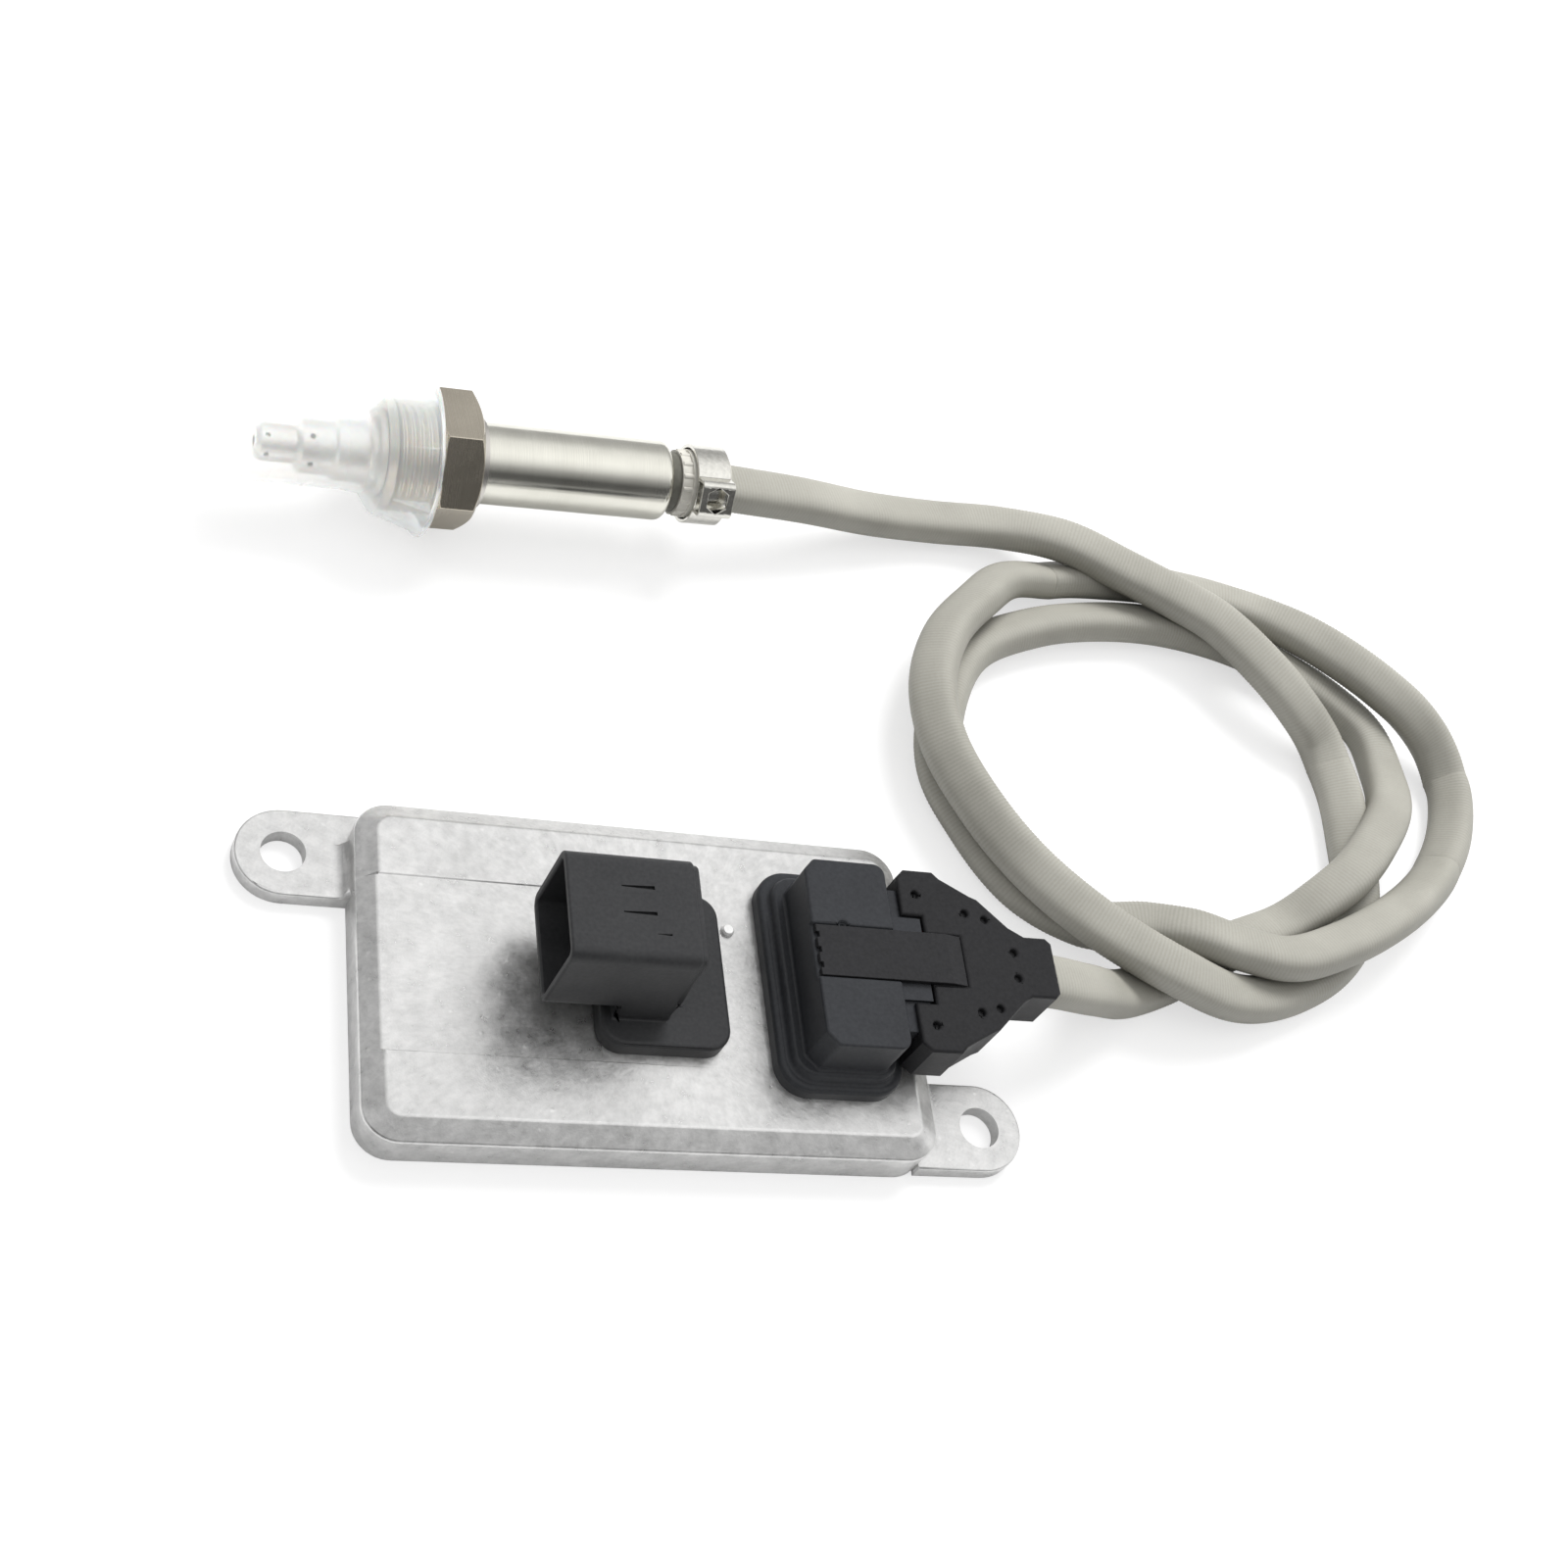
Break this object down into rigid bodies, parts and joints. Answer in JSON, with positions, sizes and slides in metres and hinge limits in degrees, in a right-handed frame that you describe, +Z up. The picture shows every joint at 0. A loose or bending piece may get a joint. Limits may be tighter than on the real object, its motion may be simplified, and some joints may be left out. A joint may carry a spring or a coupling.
{
  "type": "nitrogen oxide sensor",
  "caption": "Exhaust gas sensor: flat cast control unit with two side connectors, a looped flat cable and a screw-in probe under a clear transport cap.",
  "frame": {"origin": "centre of the control unit's base face, which is also the surface that the part lies on", "axes": "+X along the unit's long side, from the data connector's mouth towards the cable plug; +Y across the unit towards the probe; +Z up out of the unit's top"},
  "size_m": [0.2557, 0.1434, 0.032],
  "materials": {
    "cast_aluminium": "as-cast, finely mottled",
    "cover_aluminium": "rolled sheet",
    "seal_rubber": "matte",
    "plated_steel": "zinc plated",
    "board_laminate": "solder mask",
    "chip_plastic": "moulded epoxy",
    "vent_metal": "bright",
    "shroud_plastic": "moulded, fine grain",
    "tinned_contact": "tinned",
    "header_plastic": "moulded, slightly blue",
    "shell_plastic": "moulded",
    "tongue_plastic": "moulded",
    "insert_plastic": "moulded",
    "gilt_contact": "plated",
    "wire_jacket": "insulated wire",
    "grommet_rubber": "matte",
    "sleeve_rubber": "ribbed, satin",
    "boot_rubber": "gathered sleeve",
    "clamp_steel": "bright strip",
    "probe_steel": "turned, bright",
    "body_steel": "turned",
    "ceramic": "fired ceramic",
    "tube_steel": "drawn, satin",
    "gasket_steel": "bright ring",
    "nickel_steel": "nickel plated, brownish",
    "clear_cap": "clear, slightly frosted"
  },
  "bodies": {
    "unit": {"unit_housing": "cast_aluminium", "base_cover": "cover_aluminium", "base_seal": "seal_rubber", "cover_screws": "plated_steel", "circuit_board": "board_laminate", "board_parts": "chip_plastic", "board_screws": "plated_steel", "vent_plug": "vent_metal", "data_connector": "shroud_plastic", "data_pins": "tinned_contact", "data_seal": "seal_rubber", "sensor_header": "header_plastic", "header_pins": "tinned_contact", "header_seal": "seal_rubber", "plug_shell_top": "shell_plastic", "plug_shell_base": "shell_plastic", "plug_tongue": "tongue_plastic", "plug_insert": "insert_plastic", "plug_contacts": "gilt_contact", "plug_wires": "wire_jacket", "cable_grommet": "grommet_rubber", "cable_sleeve": "sleeve_rubber", "sleeve_boot": "boot_rubber", "sleeve_clamp": "clamp_steel", "wire_grommet": "grommet_rubber", "probe_wires": "wire_jacket", "probe_housing": "probe_steel", "sensor_body": "body_steel", "contact_holder": "ceramic", "rear_insulator": "ceramic", "powder_packing": "ceramic", "front_insulator": "ceramic", "ceramic_element": "ceramic", "inner_tube": "tube_steel", "outer_tube": "tube_steel"},
    "nut": {"fitting_nut": "nickel_steel", "seat_gasket": "gasket_steel"},
    "cap": {"transport_cap": "clear_cap"}
  },
  "joints": [
    {"name": "nut_spin", "type": "hinge", "parent": "unit", "child": "nut", "pos_m": [-0.03457, 0.09746, 0.0141], "axis": [0.9976, 0.0692, 0], "continuous": true},
    {"name": "cap_pull", "type": "slide", "parent": "nut", "child": "cap", "axis": [-0.9976, -0.0692, 0], "range_m": [0, 0.045]}
  ]
}
